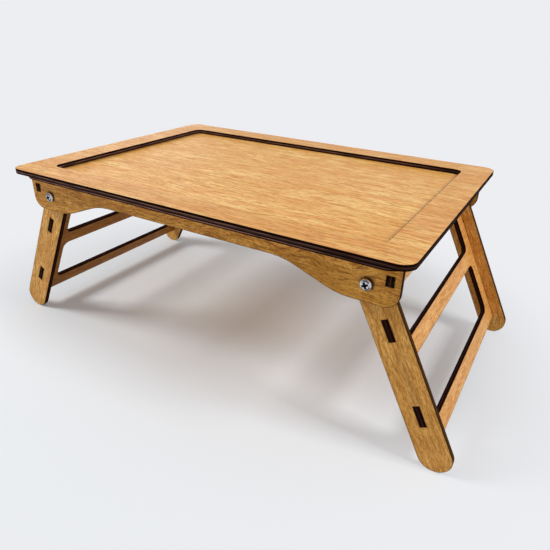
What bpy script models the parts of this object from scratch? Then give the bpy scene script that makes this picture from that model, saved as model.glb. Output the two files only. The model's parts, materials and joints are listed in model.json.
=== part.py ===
"""A folding bed tray of laser cut plywood.

The top is a frame glued on a sheet, so the sheet is the floor of a shallow recess. Two
aprons and two cross bars are slotted up into that sheet. At each end two legs and the
ladder panel between them make a leg set, which turns on two machine screws. It stands
splayed against the cross bar and folds in flat under the top.

Metres, +Z up, +X along the tray, with the origin on the floor under its middle.
"""

import math

import bmesh
import bpy
from mathutils import Vector

# Sheet and fits
PLY = 0.006
SEAT_GAP = 0.0003
TENON_PLAY = 0.0007

# Top
TRAY_LENGTH = 0.500
TRAY_WIDTH = 0.356
TRAY_CORNER = 0.015
RIM_WIDTH = 0.035
RECESS_CORNER = 0.010
BASE_INSET = 0.008
BASE_CORNER = 0.020

# Tabs that hold the aprons and the cross bars in the base panel
TAB_LENGTH = 0.040
APRON_TAB_SPACING = 0.140
BAR_TAB_SPACING = 0.150

# Leg sets
SPLAY = math.radians(26.9)
LEG_WIDTH = 0.0345
LEG_HEADROOM = 0.0046
FOLDED_FEET_GAP = 0.0048
TENON_LENGTH = 0.022
UPPER_TENON_DROP = 0.0509
LOWER_TENON_RISE = 0.040
PANEL_TOP_DROP = 0.022
PANEL_FOOT_RISE = 0.0232
UPPER_RAIL_DROP = 0.0837
RAIL_HEIGHT = 0.020
STILE_WIDTH = 0.0215
WINDOW_CORNER = 0.009
EAR_CORNER = 0.006

# Aprons
APRON_SETBACK = 0.018
APRON_END_MARGIN = 0.0071
APRON_WAIST_DEPTH = 0.0177
APRON_LOBE_REACH = 0.0269
APRON_LOBE_CORNER = 0.014
APRON_FLANK_ANGLE = math.radians(20.75)
APRON_FLANK_RADIUS = 0.075
FOLDED_LEG_COVER = 0.0006

# Cross bars
BAR_SETBACK = 0.0186
BAR_DEPTH = 0.0271
BAR_TENON_HEIGHT = 0.0094
BAR_CORNER = 0.003
BAR_LEG_CLEARANCE = 0.001
LEG_TURN_GAP = 0.00065

# Pivot fasteners
SCREW_RADIUS = 0.003
SCREW_END_SHOWING = 0.0017
SCREW_TIP_CHAMFER = 0.0005
HEAD_FLANGE = 0.0028
HEAD_CROWN = 0.0026
HEAD_RIM_HEIGHT = 0.0012
RECESS_LENGTH = 0.0062
RECESS_SLOT = 0.0014
RECESS_DEPTH = 0.0022
SPACER_FLANGE = 0.0047
SPACER_THICKNESS = 0.0022
WASHER_FLANGE = 0.0027
WASHER_THICKNESS = 0.0016
NUT_ACROSS_FLATS = 0.010
NUT_HEX_HEIGHT = 0.0044
NUT_COLLAR_WALL = 0.0011
NUT_COLLAR_HEIGHT = 0.0016
NUT_CHAMFER = 0.0005

# Facets of round stretches, and of a full turn on the small round pieces
ARC_STEP = math.radians(7.5)
TURNED_STEPS = 24

# Places that follow from the sizes above
BAR_INNER_X = TRAY_LENGTH / 2 - BAR_SETBACK - PLY
BAR_X = BAR_INNER_X + PLY / 2
APRON_END_X = BAR_INNER_X + PLY + APRON_END_MARGIN
PIVOT_X = BAR_INNER_X - LEG_TURN_GAP - LEG_WIDTH / 2
LEG_REACH = PIVOT_X - FOLDED_FEET_GAP / 2
FOOT_RADIUS = LEG_WIDTH / 2
FOOT_DROP = LEG_REACH - FOOT_RADIUS
PIVOT_Z = FOOT_DROP * math.cos(SPLAY) + FOOT_RADIUS
UNDERSIDE_Z = PIVOT_Z + LEG_WIDTH / 2 + LEG_HEADROOM
BASE_TOP_Z = UNDERSIDE_Z + PLY
RIM_BOTTOM_Z = BASE_TOP_Z + SEAT_GAP

APRON_OUTER_Y = TRAY_WIDTH / 2 - APRON_SETBACK
APRON_INNER_Y = APRON_OUTER_Y - PLY
LEG_OUTER_Y = APRON_INNER_Y - SPACER_THICKNESS - 2 * SEAT_GAP
LEG_INNER_Y = LEG_OUTER_Y - PLY
BOARD_TOP_Z = UNDERSIDE_Z - SEAT_GAP

# The leg's outer edge meets the lower inner corner of the cross bar at this height
STOP_Z = PIVOT_Z + (
    FOOT_RADIUS + SEAT_GAP - (BAR_INNER_X - PIVOT_X) * math.cos(SPLAY)
) / math.sin(SPLAY)

# The pivot stack, outwards from the middle of the tray
HOLE_RADIUS = SCREW_RADIUS + SEAT_GAP
WASHER_Y = LEG_INNER_Y - SEAT_GAP - WASHER_THICKNESS
NUT_HEIGHT = NUT_HEX_HEIGHT + NUT_COLLAR_HEIGHT
NUT_Y = WASHER_Y - SEAT_GAP - NUT_HEIGHT
HEAD_Y = APRON_OUTER_Y + SEAT_GAP
SCREW_REACH = HEAD_Y - NUT_Y + SCREW_END_SHOWING


def clear_scene():
    """Remove every object that the file holds."""
    for thing in list(bpy.data.objects):
        bpy.data.objects.remove(thing, do_unlink=True)


def make_material(name, color, roughness, metallic):
    """A Principled material with one colour, given as linear red, green and blue."""
    material = bpy.data.materials.new(name)
    material.use_nodes = True
    shader = material.node_tree.nodes["Principled BSDF"]
    shader.inputs["Base Color"].default_value = (*color, 1.0)
    shader.inputs["Roughness"].default_value = roughness
    shader.inputs["Metallic"].default_value = metallic
    return material


def arc(centre, radius, start, end):
    """Points of an arc, both ends included, counterclockwise where end is past start."""
    count = max(1, math.ceil(abs(end - start) / ARC_STEP - 0.001))
    angles = [start + (end - start) * step / count for step in range(count + 1)]
    return [
        (centre[0] + radius * math.cos(angle), centre[1] + radius * math.sin(angle))
        for angle in angles
    ]


def circle(centre, radius):
    """Points of a full circle, as many as a turned piece has sides."""
    angles = [2 * math.pi * step / TURNED_STEPS for step in range(TURNED_STEPS)]
    return [
        (centre[0] + radius * math.cos(angle), centre[1] + radius * math.sin(angle))
        for angle in angles
    ]


def rectangle(centre, width, height):
    """Corners of a rectangle."""
    x, y = centre
    half_width = width / 2
    half_height = height / 2
    return [
        (x - half_width, y - half_height),
        (x + half_width, y - half_height),
        (x + half_width, y + half_height),
        (x - half_width, y + half_height),
    ]


def rounded(corners):
    """An outline through corners (x, y, radius), each with a radius turned into an arc.

    An arc takes at most half of the shorter side at its corner.
    """
    points = []
    for index, (x, y, radius) in enumerate(corners):
        corner = Vector((x, y))
        if not radius:
            points.append((x, y))
            continue
        back = Vector(corners[index - 1][:2]) - corner
        ahead = Vector(corners[(index + 1) % len(corners)][:2]) - corner
        half_angle = back.angle(ahead) / 2
        room = min(back.length, ahead.length) / 2
        radius = min(radius, room * math.tan(half_angle))
        back.normalize()
        ahead.normalize()
        centre = corner + (back + ahead).normalized() * (radius / math.sin(half_angle))
        first = corner + back * (radius / math.tan(half_angle)) - centre
        turn = math.pi - 2 * half_angle
        if back.x * ahead.y - back.y * ahead.x > 0:
            turn = -turn
        start = math.atan2(first.y, first.x)
        points += arc(centre, radius, start, start + turn)
    return points


def rounded_rectangle(width, height, radius):
    """A rectangle about the origin with equal round corners."""
    return rounded([(x, y, radius) for x, y in rectangle((0.0, 0.0), width, height)])


def mirrored(half, top=()):
    """Corners from those of the right half, bottom to top, with any across the top."""
    return [*half, *top, *((-x, *rest) for x, *rest in reversed(half))]


def tabs(places):
    """Corners of the tabs along a board's top edge, from right to left."""
    half = TAB_LENGTH / 2
    corners = []
    for x in sorted(places, reverse=True):
        corners += [
            (x + half, BOARD_TOP_Z, 0.0),
            (x + half, BASE_TOP_Z, 0.0),
            (x - half, BASE_TOP_Z, 0.0),
            (x - half, BOARD_TOP_Z, 0.0),
        ]
    return corners


def plate(name, outlines, thickness, collection, material):
    """A flat board: the first outline less the others, centred on its own XY plane."""
    curve = bpy.data.curves.new(name, "CURVE")
    curve.dimensions = "2D"
    curve.fill_mode = "BOTH"
    curve.extrude = thickness / 2
    for points in outlines:
        spline = curve.splines.new("POLY")
        spline.points.add(len(points) - 1)
        for point, (x, y) in zip(spline.points, points):
            point.co = (x, y, 0.0, 1.0)
        spline.use_cyclic_u = True
    board = bpy.data.objects.new(name, curve)
    board.data.materials.append(material)
    collection.objects.link(board)
    return board


def stand_along_x(board, location):
    """Stand a board up with its width along X and its height along Z."""
    board.rotation_euler = (math.pi / 2, 0.0, 0.0)
    board.location = location


def stand_along_y(board, location):
    """Stand a board up with its width along Y and its height along Z."""
    board.rotation_euler = (math.pi / 2, 0.0, math.pi / 2)
    board.location = location


def turned(name, profile, closed, collection):
    """A turned solid: a profile of (radius, height) swept round the local Z axis."""
    mesh = bpy.data.meshes.new(name)
    shape = bmesh.new()
    points = [shape.verts.new((radius, 0.0, height)) for radius, height in profile]
    for first, second in zip(points, points[1:]):
        shape.edges.new((first, second))
    if closed:
        shape.edges.new((points[-1], points[0]))
    shape.to_mesh(mesh)
    shape.free()
    solid = bpy.data.objects.new(name, mesh)
    collection.objects.link(solid)
    sweep = solid.modifiers.new("sweep", "SCREW")
    sweep.steps = TURNED_STEPS
    sweep.render_steps = TURNED_STEPS
    sweep.use_merge_vertices = True
    sweep.merge_threshold = 0.00001
    return solid


def box(name, size, centre, collection):
    """A box as a cutter."""
    mesh = bpy.data.meshes.new(name)
    shape = bmesh.new()
    bmesh.ops.create_cube(shape, size=1.0)
    bmesh.ops.scale(shape, vec=size, verts=shape.verts)
    bmesh.ops.translate(shape, vec=centre, verts=shape.verts)
    shape.to_mesh(mesh)
    shape.free()
    cutter = bpy.data.objects.new(name, mesh)
    collection.objects.link(cutter)
    return cutter


def combine(solid, cutters, operation):
    """Cut a solid by others and return the result as a mesh, leaving none of them."""
    for cutter in cutters:
        cutter.hide_render = True
        cutter.display_type = "WIRE"
        cut = solid.modifiers.new(cutter.name, "BOOLEAN")
        cut.operation = operation
        cut.object = cutter
    bpy.context.view_layer.update()
    graph = bpy.context.evaluated_depsgraph_get()
    mesh = bpy.data.meshes.new_from_object(solid.evaluated_get(graph))
    mesh.transform(solid.matrix_world)
    mesh.name = solid.name
    for used in [solid, *cutters]:
        bpy.data.objects.remove(used, do_unlink=True)
    return mesh


def shade_round(mesh, angle=math.radians(35)):
    """Smooth the round walls of a mesh and keep its real edges sharp."""
    mesh.shade_smooth()
    mesh.set_sharp_from_angle(angle=angle)


def make_top(collection, wood):
    """The rim frame and the base panel with its slots for the tabs."""
    recess_length = TRAY_LENGTH - 2 * RIM_WIDTH
    recess_width = TRAY_WIDTH - 2 * RIM_WIDTH
    rim = plate(
        "top_rim",
        [
            rounded_rectangle(TRAY_LENGTH, TRAY_WIDTH, TRAY_CORNER),
            rounded_rectangle(recess_length, recess_width, RECESS_CORNER),
        ],
        PLY,
        collection,
        wood,
    )
    rim.location.z = RIM_BOTTOM_Z + PLY / 2

    outlines = [
        rounded_rectangle(
            TRAY_LENGTH - 2 * BASE_INSET, TRAY_WIDTH - 2 * BASE_INSET, BASE_CORNER
        )
    ]
    slot_length = TAB_LENGTH + 2 * SEAT_GAP
    slot_width = PLY + 2 * SEAT_GAP
    for side in (-1, 1):
        slot_y = side * (APRON_OUTER_Y - PLY / 2)
        for x in apron_tab_places():
            outlines.append(rectangle((x, slot_y), slot_length, slot_width))
        for y in bar_tab_places():
            outlines.append(rectangle((side * BAR_X, y), slot_width, slot_length))
    base = plate("base_panel", outlines, PLY, collection, wood)
    base.location.z = UNDERSIDE_Z + PLY / 2


def apron_tab_places():
    """Middles of an apron's tabs along X."""
    return [step * APRON_TAB_SPACING for step in (-1, 0, 1)]


def bar_tab_places():
    """Middles of a cross bar's tabs along Y."""
    return [side * BAR_TAB_SPACING / 2 for side in (-1, 1)]


def make_aprons(collection, wood):
    """The two long boards, deep at the pivots and drawn up to a waist between them."""
    lobe_z = PIVOT_Z - FOOT_RADIUS - FOLDED_LEG_COVER
    waist_z = UNDERSIDE_Z - APRON_WAIST_DEPTH
    lobe_x = PIVOT_X - APRON_LOBE_REACH
    waist_x = lobe_x - (waist_z - lobe_z) / math.tan(APRON_FLANK_ANGLE)
    half = [
        (waist_x, waist_z, APRON_FLANK_RADIUS),
        (lobe_x, lobe_z, APRON_FLANK_RADIUS),
        (APRON_END_X, lobe_z, APRON_LOBE_CORNER),
        (APRON_END_X, BOARD_TOP_Z, 0.0),
    ]
    outlines = [rounded(mirrored(half, tabs(apron_tab_places())))]
    slot_height = BAR_TENON_HEIGHT + 2 * SEAT_GAP
    for side in (-1, 1):
        outlines.append(circle((side * PIVOT_X, PIVOT_Z), HOLE_RADIUS))
        tenon = (side * BAR_X, STOP_Z + BAR_TENON_HEIGHT / 2)
        outlines.append(rectangle(tenon, PLY + 2 * TENON_PLAY, slot_height))
    for name, side in (("front_apron", -1), ("back_apron", 1)):
        board = plate(name, outlines, PLY, collection, wood)
        stand_along_x(board, (0.0, side * (APRON_OUTER_Y - PLY / 2), 0.0))


def make_cross_bars(collection, wood):
    """The end boards, tenoned through the aprons and notched where the legs stop."""
    bar_z = UNDERSIDE_Z - BAR_DEPTH
    tenon_z = STOP_Z + BAR_TENON_HEIGHT
    notch_y = LEG_INNER_Y - BAR_LEG_CLEARANCE
    shoulder_y = APRON_INNER_Y - SEAT_GAP
    half = [
        (notch_y, bar_z, BAR_CORNER),
        (notch_y, STOP_Z, 0.0),
        (APRON_OUTER_Y, STOP_Z, 0.0),
        (APRON_OUTER_Y, tenon_z, 0.0),
        (shoulder_y, tenon_z, 0.0),
        (shoulder_y, BOARD_TOP_Z, 0.0),
    ]
    outline = rounded(mirrored(half, tabs(bar_tab_places())))
    for name, side in (("left_cross_bar", -1), ("right_cross_bar", 1)):
        board = plate(name, [outline], PLY, collection, wood)
        stand_along_y(board, (side * BAR_X, 0.0, 0.0))


def lower_tenon_drop():
    """Distance from the pivot down the leg to the middle of the lower tenon."""
    return LEG_REACH - PANEL_FOOT_RISE - LOWER_TENON_RISE


def leg_outlines():
    """The leg about its pivot: a bar with round ends, a pivot hole and two slots."""
    half_turn = math.pi
    foot = (0.0, -FOOT_DROP)
    lowest = 1.5 * math.pi
    outline = arc((0.0, 0.0), FOOT_RADIUS, 0.0, half_turn)
    # The foot touches the floor at the splay angle off its axis, so a point lies there
    outline += arc(foot, FOOT_RADIUS, half_turn, lowest - SPLAY)[:-1]
    outline += arc(foot, FOOT_RADIUS, lowest - SPLAY, lowest + SPLAY)[:-1]
    outline += arc(foot, FOOT_RADIUS, lowest + SPLAY, 2 * math.pi)
    slot_width = PLY + 2 * SEAT_GAP
    slot_length = TENON_LENGTH + 2 * SEAT_GAP
    slots = [
        rectangle((0.0, -drop), slot_width, slot_length)
        for drop in (UPPER_TENON_DROP, lower_tenon_drop())
    ]
    return [outline, circle((0.0, 0.0), HOLE_RADIUS), *slots]


def panel_outlines():
    """The ladder panel about the pivot axis: two eared stiles, two rails, one window."""
    side_y = LEG_INNER_Y - SEAT_GAP
    window_y = LEG_INNER_Y - STILE_WIDTH
    foot_z = PANEL_FOOT_RISE - LEG_REACH
    upper_rail_z = -UPPER_RAIL_DROP + RAIL_HEIGHT / 2
    half = [(side_y, foot_z, 0.0)]
    for drop in (lower_tenon_drop(), UPPER_TENON_DROP):
        half += [
            (side_y, -drop - TENON_LENGTH / 2, 0.0),
            (LEG_OUTER_Y, -drop - TENON_LENGTH / 2, 0.0),
            (LEG_OUTER_Y, -drop + TENON_LENGTH / 2, 0.0),
            (side_y, -drop + TENON_LENGTH / 2, 0.0),
        ]
    half += [
        (side_y, -PANEL_TOP_DROP, EAR_CORNER),
        (window_y, -PANEL_TOP_DROP, EAR_CORNER),
        (window_y, upper_rail_z, WINDOW_CORNER),
    ]
    window_top = upper_rail_z - RAIL_HEIGHT
    window_foot = foot_z + RAIL_HEIGHT
    window = rounded(
        [
            (-window_y, window_foot, WINDOW_CORNER),
            (window_y, window_foot, WINDOW_CORNER),
            (window_y, window_top, WINDOW_CORNER),
            (-window_y, window_top, WINDOW_CORNER),
        ]
    )
    return [rounded(mirrored(half)), window]


def make_leg_set(side, word, collection, wood):
    """Two legs and their panel, hung on an empty on the pivot axis and splayed."""
    pivot = bpy.data.objects.new(word + "_leg_pivot", None)
    pivot.location = (side * PIVOT_X, 0.0, PIVOT_Z)
    pivot.rotation_euler = (0.0, -side * SPLAY, 0.0)
    pivot.empty_display_size = LEG_WIDTH
    collection.objects.link(pivot)
    leg_y = LEG_OUTER_Y - PLY / 2
    for place, across in (("front", -1), ("back", 1)):
        leg = plate(place + "_" + word + "_leg", leg_outlines(), PLY, collection, wood)
        stand_along_x(leg, (0.0, across * leg_y, 0.0))
        leg.parent = pivot
    panel = plate(word + "_leg_panel", panel_outlines(), PLY, collection, wood)
    stand_along_y(panel, (0.0, 0.0, 0.0))
    panel.parent = pivot


def screw_mesh(collection, metal):
    """A pan head machine screw with a cross recess, its seat at the local origin."""
    head_radius = SCREW_RADIUS + HEAD_FLANGE
    profile = [
        (head_radius * math.sin(angle), HEAD_RIM_HEIGHT + HEAD_CROWN * math.cos(angle))
        for angle in (step * math.pi / 12 for step in range(7))
    ]
    profile += [
        (head_radius, 0.0),
        (SCREW_RADIUS, 0.0),
        (SCREW_RADIUS, SCREW_TIP_CHAMFER - SCREW_REACH),
        (SCREW_RADIUS - SCREW_TIP_CHAMFER, -SCREW_REACH),
        (0.0, -SCREW_REACH),
    ]
    body = turned("pivot_screw", profile, False, collection)
    depth = 2 * RECESS_DEPTH
    middle = (0.0, 0.0, HEAD_RIM_HEIGHT + HEAD_CROWN)
    slots = [
        box("recess_long", (RECESS_LENGTH, RECESS_SLOT, depth), middle, collection),
        box("recess_cross", (RECESS_SLOT, RECESS_LENGTH, depth), middle, collection),
    ]
    mesh = combine(body, slots, "DIFFERENCE")
    mesh.materials.append(metal)
    shade_round(mesh)
    return mesh


def nut_mesh(collection, metal):
    """A lock nut: a hexagon held within a turned shape that gives chamfers and collar."""
    hexagon_radius = NUT_ACROSS_FLATS / math.sqrt(3)
    collar_radius = HOLE_RADIUS + NUT_COLLAR_WALL
    profile = [
        (HOLE_RADIUS, NUT_HEIGHT),
        (collar_radius - NUT_CHAMFER, NUT_HEIGHT),
        (collar_radius, NUT_HEIGHT - NUT_CHAMFER),
        (collar_radius, NUT_HEX_HEIGHT),
        (NUT_ACROSS_FLATS / 2, NUT_HEX_HEIGHT),
        (hexagon_radius + NUT_CHAMFER, NUT_HEX_HEIGHT - NUT_CHAMFER),
        (hexagon_radius + NUT_CHAMFER, NUT_CHAMFER),
        (NUT_ACROSS_FLATS / 2, 0.0),
        (HOLE_RADIUS, 0.0),
    ]
    limit = turned("nut_limit", profile, True, collection)
    bpy.ops.mesh.primitive_cylinder_add(
        vertices=6,
        radius=hexagon_radius,
        depth=NUT_HEIGHT + 2 * NUT_CHAMFER,
        location=(0.0, 0.0, NUT_HEIGHT / 2),
    )
    hexagon = bpy.context.object
    hexagon.name = "lock_nut"
    mesh = combine(hexagon, [limit], "INTERSECT")
    mesh.materials.append(metal)
    shade_round(mesh, math.radians(25))
    return mesh


def make_pivots(collection, metal):
    """At each pivot, from outside in: screw, apron, spacer, leg, washer and nut."""
    screw = screw_mesh(collection, metal)
    nut = nut_mesh(collection, metal)
    bore = circle((0.0, 0.0), HOLE_RADIUS)
    spacer = circle((0.0, 0.0), HOLE_RADIUS + SPACER_FLANGE)
    washer = circle((0.0, 0.0), HOLE_RADIUS + WASHER_FLANGE)
    rings = (
        ("spacer_washer", spacer, SPACER_THICKNESS, LEG_OUTER_Y + SEAT_GAP),
        ("inner_washer", washer, WASHER_THICKNESS, WASHER_Y),
    )
    for side, word in ((-1, "left"), (1, "right")):
        for across, place in ((-1, "front"), (1, "back")):
            prefix = place + "_" + word + "_"
            x = side * PIVOT_X
            outward = -across * math.pi / 2
            inward = -outward
            bolt = bpy.data.objects.new(prefix + "screw", screw)
            bolt.location = (x, across * HEAD_Y, PIVOT_Z)
            bolt.rotation_euler = (outward, 0.0, 0.0)
            collection.objects.link(bolt)
            lock = bpy.data.objects.new(prefix + "lock_nut", nut)
            lock.location = (x, across * (NUT_Y + NUT_HEIGHT), PIVOT_Z)
            lock.rotation_euler = (inward, 0.0, 0.0)
            collection.objects.link(lock)
            for name, outer, thickness, inner_y in rings:
                ring = plate(prefix + name, [outer, bore], thickness, collection, metal)
                stand_along_x(ring, (x, across * (inner_y + thickness / 2), PIVOT_Z))


def build():
    """Make the whole tray."""
    clear_scene()
    collection = bpy.data.collections.new("bed_tray")
    bpy.context.scene.collection.children.link(collection)
    top_wood = make_material("honey_plywood", (0.70, 0.43, 0.21), 0.45, 0.0)
    frame_wood = make_material("brown_plywood", (0.42, 0.23, 0.09), 0.50, 0.0)
    metal = make_material("zinc_steel", (0.72, 0.72, 0.70), 0.28, 1.0)
    make_top(collection, top_wood)
    make_aprons(collection, frame_wood)
    make_cross_bars(collection, frame_wood)
    for side, word in ((-1, "left"), (1, "right")):
        make_leg_set(side, word, collection, frame_wood)
    make_pivots(collection, metal)


build()
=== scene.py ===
"""Looks of the folding bed tray: plywood faces, burnt edges and zinc plated fasteners.

Every board is cut again from the outline of its solid, with a small worn edge, so that
its faces and its laser-cut edges each take their own finish. Metres, Z up, front at -Y.
"""

import json
import math

import bmesh
import bpy
from mathutils import Matrix, Vector
from mathutils.geometry import tessellate_polygon

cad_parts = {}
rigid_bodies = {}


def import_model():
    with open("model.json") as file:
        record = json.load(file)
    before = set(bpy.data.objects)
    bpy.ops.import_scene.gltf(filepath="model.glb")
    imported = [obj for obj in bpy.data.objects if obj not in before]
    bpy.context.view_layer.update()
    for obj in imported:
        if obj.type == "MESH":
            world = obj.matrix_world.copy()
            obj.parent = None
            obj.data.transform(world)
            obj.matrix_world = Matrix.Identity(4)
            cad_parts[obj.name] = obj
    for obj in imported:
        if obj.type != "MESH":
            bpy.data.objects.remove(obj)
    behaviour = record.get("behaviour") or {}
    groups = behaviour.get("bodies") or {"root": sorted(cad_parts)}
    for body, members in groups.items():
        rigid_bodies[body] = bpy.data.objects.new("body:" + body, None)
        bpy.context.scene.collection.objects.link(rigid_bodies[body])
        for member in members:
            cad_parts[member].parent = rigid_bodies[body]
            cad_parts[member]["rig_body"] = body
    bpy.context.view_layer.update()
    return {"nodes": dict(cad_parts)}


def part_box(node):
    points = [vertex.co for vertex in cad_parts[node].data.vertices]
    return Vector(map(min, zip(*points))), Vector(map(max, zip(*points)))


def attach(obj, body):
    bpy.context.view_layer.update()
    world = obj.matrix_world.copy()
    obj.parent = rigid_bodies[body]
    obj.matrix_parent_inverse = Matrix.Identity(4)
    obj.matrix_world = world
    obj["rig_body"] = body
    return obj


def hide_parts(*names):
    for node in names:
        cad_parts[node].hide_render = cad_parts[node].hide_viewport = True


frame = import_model()

# Boards
SPLAY = math.radians(26.9)
WORN_EDGE = 0.00035
EDGE_BULGE = 0.293  # how far in, as a share of the worn edge, its rounded middle lies
SMOKE_WIDTH = 0.0016
ROUND_SHADING = math.radians(35)  # flatter corners are shaded smooth
FACING = 0.99  # cosine above which a side of a solid counts as the board's face
SAME_POINT = 1e-5
SAME_RADIUS = 1e-6
FOLDED_CORNER = 1e-9  # an outline that turns straight back has no way in at its corner

# Brown plies on a burnt edge
LOWER_PLY = 0.0012  # below the middle of the sheet
PLY_HALF = 0.0004  # half of a ply's width
PLY_BLUR = 0.0007  # where it has faded out
PLY_WAVER = 0.0009
PLIES_FADE_FROM = 0.06  # along the grain, from the middle of the board
PLIES_FADE_TO = 0.27
PLIES_FADED = 0.2

# Finishes
BOARD_SPREAD = 7.0  # the stretch of the grain's pattern over which the boards are spread
BROAD_SHARE = 0.30
STREAK_SHARE = 0.70
MOST_BLUSH = 0.44
MOST_AMBER = 0.48
SMOKE_FADE = 2.2  # power by which the smoke thins away from a cut
CHAR_SHINE = 0.02
FACE_BUMP = 0.25
EDGE_BUMP = 0.35
ZINC_BUMP = 0.15
WOOD_RELIEF = 0.0002
ZINC_RELIEF = 0.00005

# Pan head screw: measured from the end of the thread up to the crown
SCREW_RADIUS = 0.003
SCREW_LENGTH = 0.025
THREAD_PITCH = 0.001
THREAD_DEPTH = 0.0005
THREAD_START = 0.0006  # over which the thread grows to its depth
THREAD_RINGS = 5  # rings of points to each turn of thread
HEAD_RADIUS = 0.0058
HEAD_RIM = 0.0012
HEAD_HEIGHT = 0.0038
HEAD_EDGE = 0.0003
HEAD_SHOULDER = 0.0002
CROWN_STEPS = 12
CROWN_START = 7  # degrees up the crown at which it leaves the rim
CROWN_WIDTH_POWER = 0.75
CROWN_HEIGHT_POWER = 1.05
CROSS_REACH = 0.0040
CROSS_WIDTH = 0.0025
CROSS_TURN = math.radians(24)
CROSS_DEPTH = 0.0024
CROSS_TIP_REACH = 0.34  # of the cross's reach, left at its bottom
CROSS_TIP_HALF = 0.20  # of the cross's width, on each side at its bottom
CUTTER_PROUD = 0.0004
# Ring of painted shade on the zinc, round the middle of each fastener
SHADE_RING_RADIUS = 0.0043
SHADE_RING_HALF = 0.0003  # half of the painted shade ring's width
SHADE_RING_BLUR = 0.0010  # where it has faded out

# Dark ring on an apron round each screw head
DARK_RING_RADIUS = 0.0082  # where it has faded out
DARK_RING_FULL = HEAD_RADIUS - 0.0004
DARK_RING_SHIFT = 0.0008
DARK_RING_RAGGED = 0.002
DARK_RING_COVER = 0.9

# Washers and lock nut
HOLE_RADIUS = 0.0033
WASHER_EDGE = 0.0003
TUMBLED = 0.3  # how far in, as a share of that edge, its rounded middle lies
NUT_FLAT = 0.005
NUT_HEX_HEIGHT = 0.0044
NUT_HEIGHT = 0.006
NUT_CHAMFER = 0.0005
NUT_BORE_CHAMFER = 0.0003
CHAMFER_INSET = 0.0001  # how far inside the flats a chamfer starts
CHAMFER_RISE = 0.00005  # how far above the collar's foot it starts
CORNER_SPARE = 0.00002  # by which the blank is wider than the hexagon cut from it
BAR_SPARE = 0.001  # by which the hexagon bar is longer than the nut, at each end
NYLON_GRIP = 0.0002
COLLAR_RADIUS = 0.0044
COLLAR_LIP = 0.0005
COLLAR_FOOT = 0.0003  # height over which the collar widens towards the hexagon
COLLAR_FLARE = 0.0002
TURNED_STEPS = 56

# Studio
FLOOR_REACH = 12.0
FLOOR_COLOUR = (0.85, 0.88, 0.92, 1.0)
SHADOW_MIDDLE = (-0.06, -0.02, 0.0)
SHADOW_REACH = 0.23  # within which the floor shows its shadow
GLOW_REACH = 0.54  # beyond which the floor looks like the backdrop
LEAST_GLOW = 0.10
SOFT_COLOUR = (0.97, 0.99, 1.0, 1.0)  # of the light from all round
SOFT_STRENGTH = 0.345
CAMERA_PLACE = (0.3364, -0.5411, 0.3914)
CAMERA_YAW = math.radians(-30.10)
CAMERA_PITCH = math.radians(26.92)
CAMERA_ROLL = math.radians(1.59)
CAMERA_SENSOR = 36.0
CAMERA_LENS = 33.463


# ---------------------------------------------------------------- nodes


def feed(tree, socket, value):
    """Links a socket into an input, or sets the input to a plain value."""
    if isinstance(value, bpy.types.NodeSocket):
        tree.links.new(value, socket)
    else:
        socket.default_value = value


def add_node(tree, kind, inputs=None, **settings):
    """A shader node with its settings and its inputs, each input by name or number."""
    node = tree.nodes.new(kind)
    for name, value in settings.items():
        setattr(node, name, value)
    for name, value in (inputs or {}).items():
        feed(tree, node.inputs[name], value)
    return node


def maths(tree, operation, first, second=0.5, clamp=False):
    """The result of a Math node on two values or sockets."""
    node = add_node(
        tree, "ShaderNodeMath", {0: first, 1: second}, operation=operation, use_clamp=clamp
    )
    return node.outputs[0]


def plus(tree, first, second):
    """The sum of two values or sockets."""
    return maths(tree, "ADD", first, second)


def minus(tree, first, second):
    """The first value or socket less the second."""
    return maths(tree, "SUBTRACT", first, second)


def times(tree, first, second):
    """The product of two values or sockets."""
    return maths(tree, "MULTIPLY", first, second)


def vector_maths(tree, operation, first, second=(0.0, 0.0, 0.0)):
    """The result of a Vector Math node: a number for a length or distance, else a vector."""
    node = add_node(tree, "ShaderNodeVectorMath", {0: first, 1: second}, operation=operation)
    return node.outputs["Value" if operation in ("LENGTH", "DISTANCE") else "Vector"]


def remap(tree, value, low, high, to_low=0.0, to_high=1.0):
    """A value moved from one range to another with a soft start and stop."""
    node = add_node(
        tree,
        "ShaderNodeMapRange",
        {"Value": value, "From Min": low, "From Max": high, "To Min": to_low, "To Max": to_high},
        interpolation_type="SMOOTHSTEP",
    )
    return node.outputs["Result"]


def mix_colour(tree, factor, first, second):
    """Two colours blended by a factor. A Mix node's colours are 6 and 7, and come out at 2."""
    node = add_node(tree, "ShaderNodeMix", {0: factor, 6: first, 7: second}, data_type="RGBA")
    return node.outputs[2]


def noise(tree, coordinates, features, detail=2.0, roughness=0.5):
    """Noise with so many features to a metre along each axis."""
    mapping = add_node(tree, "ShaderNodeMapping", {"Vector": coordinates, "Scale": features})
    node = add_node(
        tree,
        "ShaderNodeTexNoise",
        {"Vector": mapping.outputs[0], "Scale": 1.0, "Detail": detail, "Roughness": roughness},
    )
    return node.outputs["Fac"]


def new_group(name, inputs, outputs):
    """An empty shader node group: its tree, its given inputs and its results."""
    tree = bpy.data.node_groups.new(name, "ShaderNodeTree")
    for way, sockets in (("INPUT", inputs), ("OUTPUT", outputs)):
        for label, kind in sockets.items():
            tree.interface.new_socket(label, in_out=way, socket_type="NodeSocket" + kind)
    entry = tree.nodes.new("NodeGroupInput")
    leave = tree.nodes.new("NodeGroupOutput")
    return tree, entry.outputs, leave.inputs


def use_group(tree, group, inputs):
    """The outputs of a group placed in a material with its own values."""
    return add_node(tree, "ShaderNodeGroup", inputs, node_tree=group).outputs


def new_material(name):
    """A material with its tree and its Principled shader."""
    material = bpy.data.materials.new(name)
    material.use_nodes = True
    tree = material.node_tree
    return material, tree, tree.nodes["Principled BSDF"]


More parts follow.
